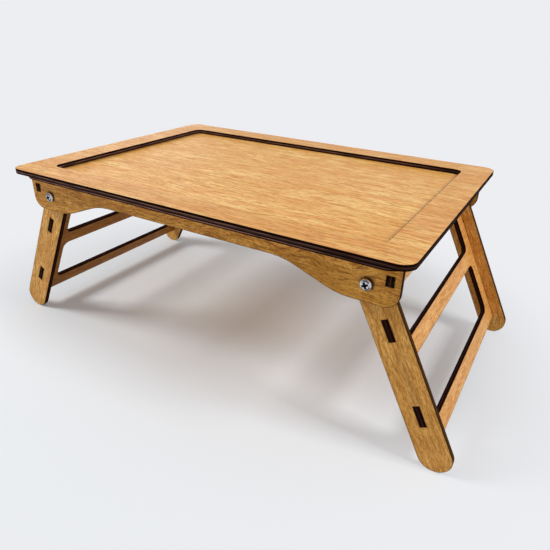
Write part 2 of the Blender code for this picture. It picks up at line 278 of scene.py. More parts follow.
def dress(tree, shader, colour, roughness, height, strength, relief):
    """Colour, roughness and a fine relief, put on a shader."""
    bump = add_node(
        tree, "ShaderNodeBump", {"Strength": strength, "Distance": relief, "Height": height}
    )
    tree.links.new(colour, shader.inputs["Base Color"])
    tree.links.new(roughness, shader.inputs["Roughness"])
    tree.links.new(bump.outputs[0], shader.inputs["Normal"])


def srgb(red, green, blue):
    """A colour written as it looks on screen, 0 to 255, turned into linear values."""

    def linear(value):
        value /= 255
        return value / 12.92 if value <= 0.04045 else ((value + 0.055) / 1.055) ** 2.4

    return (linear(red), linear(green), linear(blue), 1.0)


# ---------------------------------------------------------------- finishes


def make_birch_grain():
    """Birch veneer with its grain along X: wavy streaks, fibres, flecks, pores and blush."""
    tree, given, result = new_group(
        "birch_grain",
        {
            "Board": "Vector", "Shift": "Float",
            "Pale": "Color", "Warm": "Color", "Blush": "Color", "Dark": "Color",
            "Streaks": "Float", "Mottle": "Float", "Pores": "Float", "Fineness": "Float",
            "Stretch": "Vector", "Sway": "Float",
        },
        {"Color": "Color", "Roughness": "Float", "Height": "Float"},
    )
    shift = given["Shift"]
    spread = add_node(tree, "ShaderNodeCombineXYZ", {"X": shift, "Y": shift, "Z": shift})
    sized = vector_maths(tree, "MULTIPLY", given["Board"], given["Stretch"])
    place = vector_maths(tree, "ADD", sized, spread.outputs[0])

    # The grain wanders sideways as it runs along the board
    sway = noise(tree, place, (8.0, 22.0, 30.0))
    sideways = times(tree, minus(tree, sway, 0.5), given["Sway"])
    bend = add_node(tree, "ShaderNodeCombineXYZ", {"Y": sideways})
    bent = vector_maths(tree, "ADD", place, bend.outputs[0])

    broad = noise(tree, bent, (16.0, 130.0, 300.0), detail=3.0, roughness=0.6)
    streak = noise(tree, bent, (52.0, 620.0, 300.0), detail=3.0, roughness=0.62)
    fibre = noise(tree, bent, (160.0, 2400.0, 300.0), roughness=0.6)
    mottle = noise(tree, bent, (190.0, 1000.0, 300.0), detail=3.0, roughness=0.6)
    pore = noise(tree, bent, (120.0, 1300.0, 300.0), detail=1.0, roughness=0.4)
    tone = noise(tree, place, (14.0, 34.0, 30.0), detail=3.0)
    rosy = noise(tree, bent, (16.0, 150.0, 90.0))

    # Warm and pale wood follow the figure, under a blush and amber patches
    figure = plus(tree, times(tree, broad, BROAD_SHARE), times(tree, streak, STREAK_SHARE))
    finer = times(tree, minus(tree, fibre, figure), given["Fineness"])
    figure = plus(tree, figure, finer)
    colour = mix_colour(tree, remap(tree, figure, 0.44, 0.56), given["Warm"], given["Pale"])
    blush = times(tree, remap(tree, rosy, 0.36, 0.68), MOST_BLUSH)
    colour = mix_colour(tree, blush, colour, given["Blush"])
    amber = times(tree, remap(tree, tone, 0.40, 0.60), MOST_AMBER)
    colour = mix_colour(tree, amber, colour, given["Warm"])

    # Dark lines, flecks and pores, each where its noise is low
    line = times(tree, remap(tree, streak, 0.50, 0.32), given["Streaks"])
    fleck = times(tree, remap(tree, mottle, 0.52, 0.36), given["Mottle"])
    open_pore = times(tree, remap(tree, pore, 0.35, 0.27), given["Pores"])
    for mark in (line, fleck, open_pore):
        colour = mix_colour(tree, mark, colour, given["Dark"])

    tree.links.new(colour, result["Color"])
    tree.links.new(remap(tree, figure, 0.35, 0.65, 0.50, 0.38), result["Roughness"])
    raised = plus(tree, times(tree, fibre, 0.6), times(tree, streak, 0.4))
    tree.links.new(minus(tree, raised, open_pore), result["Height"])
    return tree


def make_laser_smoke():
    """The brown halo that the laser leaves on a face beside each cut."""
    tree, given, result = new_group(
        "laser_smoke",
        {
            "Board": "Vector", "Color": "Color", "Nearness": "Float",
            "Stain": "Color", "Strength": "Float",
        },
        {"Color": "Color"},
    )
    cloud = noise(tree, given["Board"], (60.0, 60.0, 60.0))
    patchy = remap(tree, cloud, 0.3, 0.7, 0.45, 1.0)
    close = maths(tree, "POWER", given["Nearness"], SMOKE_FADE, clamp=True)
    cover = times(tree, times(tree, close, patchy), given["Strength"])
    stained = mix_colour(tree, cover, given["Color"], given["Stain"])
    tree.links.new(stained, result["Color"])
    return tree


def make_screw_dark_ring():
    """The ragged dark ring on an apron round its two screws, a little up and right of them."""
    tree, given, result = new_group(
        "screw_dark_ring",
        {
            "Board": "Vector", "Color": "Color", "Ring colour": "Color",
            "Along": "Float", "Up": "Float",
        },
        {"Color": "Color"},
    )
    parts = add_node(tree, "ShaderNodeSeparateXYZ", {0: given["Board"]}).outputs
    along = maths(tree, "ABSOLUTE", minus(tree, parts[0], DARK_RING_SHIFT))
    up = minus(tree, parts[1], DARK_RING_SHIFT)
    away = add_node(
        tree,
        "ShaderNodeCombineXYZ",
        {"X": minus(tree, along, given["Along"]), "Y": minus(tree, up, given["Up"])},
    )
    ragged = noise(tree, given["Board"], (420.0, 420.0, 420.0))
    reach = plus(
        tree,
        vector_maths(tree, "LENGTH", away.outputs[0]),
        times(tree, minus(tree, ragged, 0.5), DARK_RING_RAGGED),
    )
    # Darker within a ragged ring round each screw, shifted up and right of it, fading out at its
    # edge
    cover = remap(tree, reach, DARK_RING_RADIUS, DARK_RING_FULL, 0.0, DARK_RING_COVER)
    ringed = mix_colour(tree, cover, given["Color"], given["Ring colour"])
    tree.links.new(ringed, result["Color"])
    return tree


def make_burnt_edge():
    """A laser-cut edge: charred plies, whose middle and lower ones show brown."""
    tree, given, result = new_group(
        "burnt_edge",
        {
            "Board": "Vector", "Shift": "Float", "Char": "Color", "Ply": "Color",
            "Middle": "Float", "Lower": "Float",
        },
        {"Color": "Color", "Roughness": "Float", "Height": "Float"},
    )
    parts = add_node(tree, "ShaderNodeSeparateXYZ", {0: given["Board"]}).outputs
    spread = add_node(tree, "ShaderNodeCombineXYZ", {"X": given["Shift"], "Y": given["Shift"]})
    place = vector_maths(tree, "ADD", given["Board"], spread.outputs[0])
    wavy = noise(tree, place, (22.0, 22.0, 22.0))
    level = plus(tree, parts[2], times(tree, minus(tree, wavy, 0.5), PLY_WAVER))
    bands = []
    for height, strength in ((level, "Middle"), (plus(tree, level, LOWER_PLY), "Lower")):
        distance = maths(tree, "ABSOLUTE", height)
        bands.append(times(tree, remap(tree, distance, PLY_BLUR, PLY_HALF), given[strength]))
    plies = maths(tree, "MAXIMUM", *bands)

    cloud = noise(tree, place, (38.0, 38.0, 500.0), detail=3.0, roughness=0.6)
    patchy = remap(tree, cloud, 0.34, 0.58, 0.40, 1.0)
    fade = remap(tree, parts[0], PLIES_FADE_FROM, PLIES_FADE_TO, 1.0, PLIES_FADED)
    shown = times(tree, times(tree, plies, patchy), fade)
    kerf = noise(tree, place, (900.0, 900.0, 30.0), detail=1.0)
    tree.links.new(mix_colour(tree, shown, given["Char"], given["Ply"]), result["Color"])
    tree.links.new(remap(tree, patchy, 0.0, 1.0, 0.62, 0.85), result["Roughness"])
    tree.links.new(plus(tree, times(tree, plies, 0.5), kerf), result["Height"])
    return tree


def make_zinc_plate():
    """Zinc plate: turning marks along Z, dull patches and a broken dark ring of painted shade."""
    tree, given, result = new_group(
        "zinc_plate",
        {
            "Place": "Vector", "Plate": "Color", "Dull": "Color", "Shade ring": "Color",
            "Smoothest": "Float",
        },
        {"Color": "Color", "Roughness": "Float", "Height": "Float"},
    )
    place = given["Place"]
    marks = noise(tree, place, (700.0, 700.0, 5200.0), detail=3.0, roughness=0.6)
    cloud = noise(tree, place, (240.0, 240.0, 240.0))
    flat = vector_maths(tree, "MULTIPLY", place, (1.0, 1.0, 0.0))
    radius = vector_maths(tree, "LENGTH", flat)
    # A broken ring of painted shade round the fastener's middle
    from_ring = maths(tree, "ABSOLUTE", minus(tree, radius, SHADE_RING_RADIUS))
    broken = remap(tree, noise(tree, place, (170.0, 170.0, 20.0), detail=1.0), 0.42, 0.56)
    ring = times(tree, remap(tree, from_ring, SHADE_RING_BLUR, SHADE_RING_HALF), broken)
    plated = mix_colour(tree, remap(tree, cloud, 0.42, 0.62), given["Plate"], given["Dull"])
    coarser = plus(
        tree,
        remap(tree, marks, 0.3, 0.7, 0.0, 0.10),
        remap(tree, cloud, 0.45, 0.7, 0.0, 0.10),
    )
    tree.links.new(mix_colour(tree, ring, plated, given["Shade ring"]), result["Color"])
    tree.links.new(plus(tree, given["Smoothest"], coarser), result["Roughness"])
    tree.links.new(marks, result["Height"])
    return tree


BIRCH_GRAIN = make_birch_grain()
LASER_SMOKE = make_laser_smoke()
SCREW_DARK_RING = make_screw_dark_ring()
BURNT_EDGE = make_burnt_edge()
ZINC_PLATE = make_zinc_plate()


def board_place(tree):
    """Board coordinates, and a shift of its own for each board."""
    place = add_node(tree, "ShaderNodeAttribute", attribute_name="board").outputs["Vector"]
    chance = tree.nodes.new("ShaderNodeObjectInfo").outputs["Random"]
    return place, times(tree, chance, BOARD_SPREAD)


def make_face(name, colours, smoke, shine, hole=None, **grain_values):
    """A sanded birch face with its grain and smoke stains, and a ragged dark ring round its holes.
    """
    material, tree, shader = new_material(name)
    place, shift = board_place(tree)
    pale, warm, blush, dark, stain = (srgb(*colour) for colour in colours)
    values = {label.capitalize(): value for label, value in grain_values.items()}
    values.update(
        {"Board": place, "Shift": shift, "Pale": pale, "Warm": warm, "Blush": blush, "Dark": dark}
    )
    grain = use_group(tree, BIRCH_GRAIN, values)
    near = add_node(tree, "ShaderNodeAttribute", attribute_name="smoke").outputs["Fac"]
    colour = use_group(
        tree,
        LASER_SMOKE,
        {
            "Board": place, "Color": grain["Color"], "Nearness": near,
            "Stain": stain, "Strength": smoke,
        },
    )["Color"]
    if hole:
        colour = use_group(
            tree,
            SCREW_DARK_RING,
            {"Board": place, "Color": colour, "Ring colour": stain, "Along": hole[0], "Up": hole[1]},
        )["Color"]
    shader.inputs["Specular IOR Level"].default_value = shine
    dress(tree, shader, colour, grain["Roughness"], grain["Height"], FACE_BUMP, WOOD_RELIEF)
    return material


def make_edge(name, char, ply, middle, lower):
    """A burnt plywood edge."""
    material, tree, shader = new_material(name)
    place, shift = board_place(tree)
    edge = use_group(
        tree,
        BURNT_EDGE,
        {
            "Board": place, "Shift": shift, "Char": srgb(*char), "Ply": srgb(*ply),
            "Middle": middle, "Lower": lower,
        },
    )
    shader.inputs["Specular IOR Level"].default_value = CHAR_SHINE
    dress(tree, shader, edge["Color"], edge["Roughness"], edge["Height"], EDGE_BUMP, WOOD_RELIEF)
    return material


def make_zinc(name, plate, dull, shade_ring, smoothest):
    """Zinc plate on a fastener."""
    material, tree, shader = new_material(name)
    zinc = use_group(
        tree,
        ZINC_PLATE,
        {
            "Place": tree.nodes.new("ShaderNodeTexCoord").outputs["Object"],
            "Plate": srgb(*plate), "Dull": srgb(*dull), "Shade ring": srgb(*shade_ring),
            "Smoothest": smoothest,
        },
    )
    shader.inputs["Metallic"].default_value = 1.0
    dress(tree, shader, zinc["Color"], zinc["Roughness"], zinc["Height"], ZINC_BUMP, ZINC_RELIEF)
    return material


def make_nylon(name):
    """The milky ring of a lock nut."""
    material, tree, shader = new_material(name)
    place = tree.nodes.new("ShaderNodeTexCoord").outputs["Object"]
    cloud = noise(tree, place, (500.0, 500.0, 500.0))
    milky = mix_colour(tree, cloud, srgb(214, 216, 206), srgb(190, 194, 186))
    tree.links.new(milky, shader.inputs["Base Color"])
    tree.links.new(remap(tree, cloud, 0.3, 0.7, 0.35, 0.5), shader.inputs["Roughness"])
    return material


def hole_place():
    """Where an apron's screw hole lies from the apron's middle: along it and up it."""
    low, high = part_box("front_apron")
    screw_low, screw_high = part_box("front_right_screw")
    away = (screw_low + screw_high - low - high) / 2
    return away.x, away.z


# Colours of a face: pale wood, warm wood, blush, dark grain and smoke stain
RIM_FACE = make_face(
    "honey_birch_rim",
    ((243, 194, 115), (216, 148, 66), (226, 144, 80), (148, 85, 34), (116, 64, 30)),
    smoke=0.25, shine=0.26, streaks=0.24, mottle=0.36, pores=0.22, fineness=0.14,
    stretch=(0.75, 0.66, 1.0), sway=0.016,
)
BASE_FACE = make_face(
    "pale_birch_base",
    ((250, 207, 126), (224, 156, 70), (232, 150, 80), (154, 91, 35), (120, 66, 30)),
    smoke=0.25, shine=0.26, streaks=0.22, mottle=0.36, pores=0.22, fineness=0.14,
    stretch=(0.75, 0.62, 1.0), sway=0.016,
)
LEG_FACE = make_face(
    "olive_birch_leg",
    ((249, 192, 104), (203, 139, 51), (218, 141, 57), (130, 78, 28), (56, 32, 16)),
    smoke=0.60, shine=0.20, streaks=0.28, mottle=0.56, pores=0.35, fineness=0.25,
    stretch=(1.4, 1.1, 1.0), sway=0.020,
)
APRON_FACE = make_face(
    "golden_birch_apron",
    ((236, 175, 78), (191, 128, 37), (200, 123, 38), (108, 65, 16), (44, 18, 8)),
    smoke=0.60, shine=0.18, hole=hole_place(), streaks=0.44, mottle=0.56, pores=0.40,
    fineness=0.20, stretch=(1.3, 1.0, 1.0), sway=0.034,
)
OUTER_FACE = make_face(
    "orange_birch_panel",
    ((250, 194, 114), (228, 156, 74), (236, 154, 82), (148, 88, 34), (56, 32, 16)),
    smoke=0.55, shine=0.22, streaks=0.40, mottle=0.40, pores=0.40, fineness=0.20,
    stretch=(1.2, 0.9, 1.0), sway=0.016,
)
# Inner faces of the panels: the birch of the outer faces, painted darker and browner as the shade
# under the tray
INNER_PANEL_PAINTED_SHADE = make_face(
    "inner_panel_painted_shade",
    ((180, 120, 30), (144, 88, 14), (152, 86, 16), (90, 52, 12), (50, 28, 14)),
    smoke=0.55, shine=0.12, streaks=0.40, mottle=0.45, pores=0.40, fineness=0.20,
    stretch=(1.2, 1.0, 1.0), sway=0.016,
)

# Colours of an edge: char and ply, and how much the middle and the lower ply show
RIM_EDGE = make_edge("burnt_rim_edge", (24, 6, 3), (150, 112, 98), middle=0.60, lower=0.22)
BASE_EDGE = make_edge("burnt_base_edge", (22, 6, 3), (158, 120, 106), middle=0.20, lower=0.95)
APRON_EDGE = make_edge("singed_apron_edge", (44, 28, 19), (140, 110, 82), middle=0.85, lower=0.25)
BAR_EDGE = make_edge("burnt_bar_edge", (26, 14, 9), (104, 68, 44), middle=0.70, lower=0.20)
LEG_EDGE = make_edge("brown_leg_edge", (60, 36, 16), (104, 66, 32), middle=0.55, lower=0.35)
PANEL_EDGE_AND_LEG_SHADE = make_edge("black_panel_edge_and_leg_shade", (26, 9, 7), (84, 46, 32), middle=0.55, lower=0.20)

# Bright zinc, with a broken ring of painted shade round each fastener's middle
ZINC = make_zinc(
    "bright_zinc", plate=(214, 215, 218), dull=(176, 178, 184), shade_ring=(60, 62, 70),
    smoothest=0.12,
)
# Zinc for the walls of the cross in a screw head, painted dark as the shade in that recess
RECESS_ZINC_PAINTED_SHADE = make_zinc(
    "recess_zinc_painted_shade", plate=(38, 38, 44), dull=(24, 24, 30), shade_ring=(14, 14, 18),
    smoothest=0.45,
)
NYLON = make_nylon("milky_nylon")
BACKDROP = srgb(237, 238, 241)


# ---------------------------------------------------------------- boards


def board_outlines(node, grain, across):
    """The closed outlines of a board's face, its thickness and its middle.

    An outline is a list of (along the grain, across it) pairs from the board's middle.
    """
    normal = grain.cross(across)
    shape = bmesh.new()
    shape.from_mesh(frame["nodes"][node].data)
    bmesh.ops.remove_doubles(shape, verts=shape.verts, dist=SAME_POINT)
    low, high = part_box(node)
    middle = (low + high) / 2
    levels = [(vert.co - middle).dot(normal) for vert in shape.verts]
    thickness = max(levels) - min(levels)
    middle = middle + normal * (max(levels) + min(levels)) / 2
    face = {item for item in shape.faces if item.normal.dot(normal) > FACING}
    rim = [edge for edge in shape.edges if sum(item in face for item in edge.link_faces) == 1]
    follow = {}
    for edge in rim:
        for vert in edge.verts:
            follow.setdefault(vert, []).append(edge)
    outlines = []
    left = set(rim)
    while left:
        edge = min(left, key=lambda item: item.index)
        left.discard(edge)
        start, here = edge.verts
        points = [start, here]
        while here is not start:
            edge = next(item for item in follow[here] if item in left)
            left.discard(edge)
            here = edge.other_vert(here)
            points.append(here)
        outlines.append(
            [((v.co - middle).dot(grain), (v.co - middle).dot(across)) for v in points[:-1]]
        )
    shape.free()
    return outlines, thickness, middle


def moved_in(outline, distance):
    """An outline moved into the board by a distance, corners kept."""
    moved = []
    for index, point in enumerate(outline):
        point = Vector(point)
        back = (point - Vector(outline[index - 1])).normalized()
        ahead = (Vector(outline[(index + 1) % len(outline)]) - point).normalized()
        inward = Vector((-back.y - ahead.y, back.x + ahead.x))
        square = inward.length_squared / 2
        moved.append(point + inward * (distance / square) if square > FOLDED_CORNER else point)
    return [(item.x, item.y) for item in moved]


def signed_area(outline):
    """Area within an outline, positive where it runs counterclockwise."""
    return sum(
        a[0] * b[1] - b[0] * a[1] for a, b in zip(outline, outline[1:] + outline[:1])
    ) / 2


def board_shape(outlines, thickness):
    """A flat board: walls, a small rounded wear on each edge, a smoke band and the faces."""
    largest = max(outlines, key=lambda item: abs(signed_area(item)))
    turned = []
    for outline in outlines:
        if (signed_area(outline) > 0) != (outline is largest):
            outline = outline[::-1]
        turned.append(outline)
    turned.sort(key=lambda item: -abs(signed_area(item)))

    # From the wall to the face: how far in, how high, and how near the cut for the smoke
    half = thickness / 2
    steps = (
        (0.0, half - WORN_EDGE, 1.0),
        (WORN_EDGE * EDGE_BULGE, half - WORN_EDGE * EDGE_BULGE, 1.0),
        (WORN_EDGE, half, 1.0),
        (WORN_EDGE + SMOKE_WIDTH, half, 0.0),
    )
    shape = bmesh.new()
    smoke = shape.verts.layers.float.new("smoke")
    place = shape.verts.layers.float_vector.new("board")
    inner = {1: [], -1: []}
    for outline in turned:
        rings = []
        for side, order in ((-1, reversed(steps)), (1, steps)):
            for distance, height, near in order:
                ring = [
                    shape.verts.new((x, y, side * height)) for x, y in moved_in(outline, distance)
                ]
                for vert in ring:
                    vert[smoke] = near
                    vert[place] = vert.co
                rings.append(ring)
        for number, (lower, upper) in enumerate(zip(rings, rings[1:])):
            for index in range(len(outline)):
                after = (index + 1) % len(outline)
                item = shape.faces.new((lower[index], lower[after], upper[after], upper[index]))
                item.material_index = 0 if number in (0, len(rings) - 2) else 1
        inner[-1].append(rings[0])
        inner[1].append(rings[-1])
    for side, loops in inner.items():
        flat = [vert for loop in loops for vert in loop]
        for corners in tessellate_polygon([[vert.co for vert in loop] for loop in loops]):
            item = shape.faces.new([flat[index] for index in corners])
            item.normal_update()
            if item.normal.z * side < 0:
                item.normal_flip()
    return shape


def cut_board(node, body, grain, across, finishes):
    """A board cut from its node's outline, with a worn edge, its faces and its burnt walls.

    The finishes are those of the face towards grain x across, of the burnt walls and, where
    it differs, of the other face.
    """
    grain = Vector(grain).normalized()
    across = Vector(across).normalized()
    outlines, thickness, middle = board_outlines(node, grain, across)
    mesh = mesh_from(board_shape(outlines, thickness), node + "_board", finishes)
    if len(finishes) > 2:
        for item in mesh.polygons:
            if item.material_index == 0 and item.center.z < 0:
                item.material_index = 2
    turn = Matrix((grain, across, grain.cross(across))).transposed().to_4x4()
    mesh.transform(Matrix.Translation(middle) @ turn)
    board = bpy.data.objects.new(node + "_board", mesh)
    bpy.context.scene.collection.objects.link(board)
    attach(board, body)
    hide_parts(node)


def make_top():
    """Raised rim and base panel, grain along the tray."""
    for node, finishes in (
        ("top_rim", (RIM_FACE, RIM_EDGE)),
        ("base_panel", (BASE_FACE, BASE_EDGE)),
    ):
        cut_board(node, "tray", (1, 0, 0), (0, 1, 0), finishes)


def make_aprons_and_bars():
    """Aprons under the long sides and cross bars between them."""
    for node in ("front_apron", "back_apron"):
        cut_board(node, "tray", (1, 0, 0), (0, 0, 1), (APRON_FACE, APRON_EDGE))
    for node in ("left_cross_bar", "right_cross_bar"):
        cut_board(node, "tray", (0, 1, 0), (0, 0, 1), (LEG_FACE, BAR_EDGE))


def make_leg_sets():
    """Legs with the grain along them, and the ladder panels between them."""
    # The left legs take the black panel edge: their edges are painted darker than the right legs'
    # brown edges, as the shade they stand in
    for side, sign, edge in (("left", -1, PANEL_EDGE_AND_LEG_SHADE), ("right", 1, LEG_EDGE)):
        body = side + "_leg_frame"
        down = Vector((sign * math.sin(SPLAY), 0, -math.cos(SPLAY)))
        beside = Vector((math.cos(SPLAY), 0, sign * math.sin(SPLAY)))
        for end in ("front", "back"):
            cut_board(f"{end}_{side}_leg", body, down, beside, (LEG_FACE, edge))
        # Each panel's face towards the tray's middle takes the copy of the birch painted darker as
        # shade
        panel = (INNER_PANEL_PAINTED_SHADE, PANEL_EDGE_AND_LEG_SHADE, OUTER_FACE)
        if side == "right":
            panel = panel[::-1]
        cut_board(side + "_leg_panel", body, (0, 1, 0), -down, panel)


# ---------------------------------------------------------------- fasteners


def turned_shape(profile, closed=False):
    """A shape turned about Z from (radius, height) points."""
    shape = bmesh.new()
    angles = [2 * math.pi * step / TURNED_STEPS for step in range(TURNED_STEPS)]
    rings = []
    for radius, height in profile:
        if radius:
            ring = [
                shape.verts.new((radius * math.cos(a), radius * math.sin(a), height))
                for a in angles
            ]
        else:
            ring = [shape.verts.new((0.0, 0.0, height))]
        rings.append(ring)
    pairs = list(zip(rings, rings[1:]))
    if closed:
        pairs.append((rings[-1], rings[0]))
    for lower, upper in pairs:
        for step in range(TURNED_STEPS):
            after = (step + 1) % TURNED_STEPS
            corners = [lower[step % len(lower)], lower[after % len(lower)]]
            corners += [upper[after % len(upper)], upper[step % len(upper)]]
            shape.faces.new(list(dict.fromkeys(corners)))
    bmesh.ops.recalc_face_normals(shape, faces=shape.faces)
    return shape


def mesh_from(shape, name, materials):
    """A mesh from a shape, round stretches shaded smooth and finishes parted by a crisp line."""
    for item in shape.faces:
        item.smooth = True
    for item in shape.edges:
        finishes = {neighbour.material_index for neighbour in item.link_faces}
        item.smooth = len(finishes) == 1 and item.calc_face_angle(0.0) < ROUND_SHADING
    mesh = bpy.data.meshes.new(name)
    for material in materials:
        mesh.materials.append(material)
    shape.to_mesh(mesh)
    shape.free()
    return mesh


def cut_mesh(body, tool, operation, name):
    """The mesh of one mesh cut by, or kept within, another."""
    work = bpy.data.objects.new(name, body)
    cutter = bpy.data.objects.new(name + "_cutter", tool)
    for thing in (work, cutter):
        bpy.context.scene.collection.objects.link(thing)
    cut = work.modifiers.new("cut", "BOOLEAN")
    cut.operation = operation
    cut.solver = "EXACT"
    cut.object = cutter
    bpy.context.view_layer.update()
    mesh = bpy.data.meshes.new_from_object(
        work.evaluated_get(bpy.context.evaluated_depsgraph_get())
    )
    for thing in (work, cutter):
        bpy.data.objects.remove(thing)
    return mesh


def shade_again(mesh):
    """Round stretches smooth and corners sharp, after a cut."""
    shape = bmesh.new()
    shape.from_mesh(mesh)
    for item in shape.faces:
        item.smooth = True
    for item in shape.edges:
        item.smooth = item.calc_face_angle(0.0) < ROUND_SHADING
    shape.to_mesh(mesh)
    shape.free()
    return mesh


def prism(rings):
    """A shape with straight walls between two rings of points, and a cap on each."""
    shape = bmesh.new()
    lower, upper = ([shape.verts.new(point) for point in ring] for ring in rings)
    for step in range(len(lower)):
        after = (step + 1) % len(lower)
        shape.faces.new((lower[step], lower[after], upper[after], upper[step]))
    shape.faces.new(lower)
    shape.faces.new(upper)
    bmesh.ops.recalc_face_normals(shape, faces=shape.faces)
    return shape


def cross_cutter():
    """The tapered cross that is driven into a screw head."""
    crown = SCREW_LENGTH + HEAD_HEIGHT
    rings = []
    for height, reach, half in (
        (crown - CROSS_DEPTH, CROSS_REACH * CROSS_TIP_REACH, CROSS_WIDTH * CROSS_TIP_HALF),
        (crown + CUTTER_PROUD, CROSS_REACH, CROSS_WIDTH / 2),
    ):
        ring = []
        for quarter in range(4):
            turn = Matrix.Rotation(CROSS_TURN + quarter * math.pi / 2, 2)
            for x, y in ((half, -half), (reach, -half), (reach, half)):
                corner = turn @ Vector((x, y))
                ring.append((corner.x, corner.y, height))
        rings.append(ring)
    shape = prism(rings)
    # Every wall the cross cuts takes the recess zinc, painted dark as the shade in the cross
    for item in shape.faces:
        item.material_index = 1
    return mesh_from(shape, "cross_cutter", (ZINC, RECESS_ZINC_PAINTED_SHADE))


def make_screw_mesh():
    """Pan head screw with a helical thread and a cross recess, thread end at Z 0."""
    rings = round(SCREW_LENGTH / THREAD_PITCH * THREAD_RINGS)
    rim_top = SCREW_LENGTH + HEAD_RIM
    crown = HEAD_HEIGHT - HEAD_RIM
    profile = [(0.0, 0.0), (SCREW_RADIUS - THREAD_DEPTH, 0.0)]
    profile += [(SCREW_RADIUS, SCREW_LENGTH * ring / rings) for ring in range(1, rings + 1)]
    profile += [
        (HEAD_RADIUS - HEAD_EDGE, SCREW_LENGTH),
        (HEAD_RADIUS, SCREW_LENGTH + HEAD_EDGE),
        (HEAD_RADIUS, rim_top - HEAD_SHOULDER),
    ]
    for step in range(CROWN_STEPS):
        angle = math.radians(CROWN_START + step * (90 - CROWN_START) / CROWN_STEPS)
        profile.append(
            (
                HEAD_RADIUS * math.cos(angle) ** CROWN_WIDTH_POWER,
                rim_top + crown * math.sin(angle) ** CROWN_HEIGHT_POWER,
            )
        )
    profile.append((0.0, SCREW_LENGTH + HEAD_HEIGHT))
    shape = turned_shape(profile)

    # The thread winds down into the shank as a groove between its teeth
    for vert in shape.verts:
        radius = math.hypot(vert.co.x, vert.co.y)
        if abs(radius - SCREW_RADIUS) < SAME_RADIUS and vert.co.z < SCREW_LENGTH - SAME_POINT:
            turns = vert.co.z / THREAD_PITCH - math.atan2(vert.co.y, vert.co.x) / (2 * math.pi)
            tooth = abs(2 * (turns % 1.0) - 1)
            taper = min(1.0, vert.co.z / THREAD_START)
            deep = THREAD_DEPTH * (1 - tooth * taper)
            vert.co.x *= (radius - deep) / radius
            vert.co.y *= (radius - deep) / radius
    whole = mesh_from(shape, "screw_blank", (ZINC, RECESS_ZINC_PAINTED_SHADE))
    return shade_again(cut_mesh(whole, cross_cutter(), "DIFFERENCE", "screw"))


def make_washer_mesh(radius, thickness, name):
    """A flat washer with tumbled edges."""
    edge = WASHER_EDGE
    profile = [
        (HOLE_RADIUS + edge, 0.0),
        (radius - edge, 0.0),
        (radius - edge * TUMBLED, edge * TUMBLED),
        (radius, edge),
        (radius, thickness - edge),
        (radius - edge * TUMBLED, thickness - edge * TUMBLED),
        (radius - edge, thickness),
        (HOLE_RADIUS + edge, thickness),
        (HOLE_RADIUS, thickness - edge),
        (HOLE_RADIUS, edge),
    ]
    return mesh_from(turned_shape(profile, closed=True), name, (ZINC,))


def make_nut_mesh():
    """Hexagonal lock nut, chamfered corners, round collar with its nylon ring, collar at Z 0."""
    wide = NUT_FLAT / math.cos(math.pi / 6)
    hex_from = NUT_HEIGHT - NUT_HEX_HEIGHT
    nylon = HOLE_RADIUS - NYLON_GRIP
    profile = [
        # Nylon ring, and the lip of the collar rolled over it
        (nylon, COLLAR_LIP),
        (COLLAR_RADIUS - COLLAR_LIP, COLLAR_LIP * 0.8),
        (COLLAR_RADIUS - COLLAR_LIP, COLLAR_LIP * 0.3),
        (COLLAR_RADIUS - COLLAR_LIP * 0.7, 0.0),
        (COLLAR_RADIUS - COLLAR_LIP * 0.3, 0.0),
        (COLLAR_RADIUS, COLLAR_LIP * 0.6),
        # Foot of the collar, then the hexagon with a chamfer at each end
        (COLLAR_RADIUS, hex_from - COLLAR_FOOT),
        (COLLAR_RADIUS + COLLAR_FLARE, hex_from),
        (NUT_FLAT - CHAMFER_INSET, hex_from + CHAMFER_RISE),
        (wide + CORNER_SPARE, hex_from + NUT_CHAMFER),
        (wide + CORNER_SPARE, NUT_HEIGHT - NUT_CHAMFER),
        (NUT_FLAT - CHAMFER_INSET, NUT_HEIGHT),
        # Bore, up to the nylon
        (HOLE_RADIUS + NUT_BORE_CHAMFER, NUT_HEIGHT),
        (HOLE_RADIUS, NUT_HEIGHT - NUT_BORE_CHAMFER),
        (HOLE_RADIUS, hex_from),
        (nylon, hex_from - NYLON_GRIP),
    ]
    blank = mesh_from(turned_shape(profile, closed=True), "nut_blank", (ZINC, NYLON))
    angles = [math.pi / 3 * side + math.pi / 6 for side in range(6)]
    bar = prism(
        [
            [(wide * math.cos(angle), wide * math.sin(angle), height) for angle in angles]
            for height in (-BAR_SPARE, NUT_HEIGHT + BAR_SPARE)
        ]
    )
    hexagon = mesh_from(bar, "hexagon_bar", (ZINC, NYLON))
    nut = cut_mesh(blank, hexagon, "INTERSECT", "nut")
    for face in nut.polygons:
        middle = face.center
        inside = math.hypot(middle.x, middle.y) < COLLAR_RADIUS - COLLAR_LIP
        face.material_index = 1 if inside and middle.z < hex_from else 0
    return shade_again(nut)


def make_fasteners():
    """Four pivots, each a screw, a spacer washer, an inner washer and a lock nut."""
    low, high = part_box("front_left_spacer_washer")
    spacer = make_washer_mesh((high.x - low.x) / 2, high.y - low.y, "spacer_washer")
    low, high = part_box("front_left_inner_washer")
    washer = make_washer_mesh((high.x - low.x) / 2, high.y - low.y, "inner_washer")
    kinds = (
        ("screw", make_screw_mesh()),
        ("spacer_washer", spacer),
        ("inner_washer", washer),
        ("lock_nut", make_nut_mesh()),
    )
    for end, outward in (("front", -1), ("back", 1)):
        stand = Matrix.Rotation(math.pi / 2 * -outward, 4, "X")
        for side in ("left", "right"):
            for kind, mesh in kinds:
                node = f"{end}_{side}_{kind}"
                low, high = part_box(node)
                inner = low.y if outward > 0 else high.y
                piece = bpy.data.objects.new(node + "_piece", mesh)
                bpy.context.scene.collection.objects.link(piece)
                piece.matrix_world = (
                    Matrix.Translation(((low.x + high.x) / 2, inner, (low.z + high.z) / 2)) @ stand
                )
                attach(piece, frame["nodes"][node]["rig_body"])
                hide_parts(node)


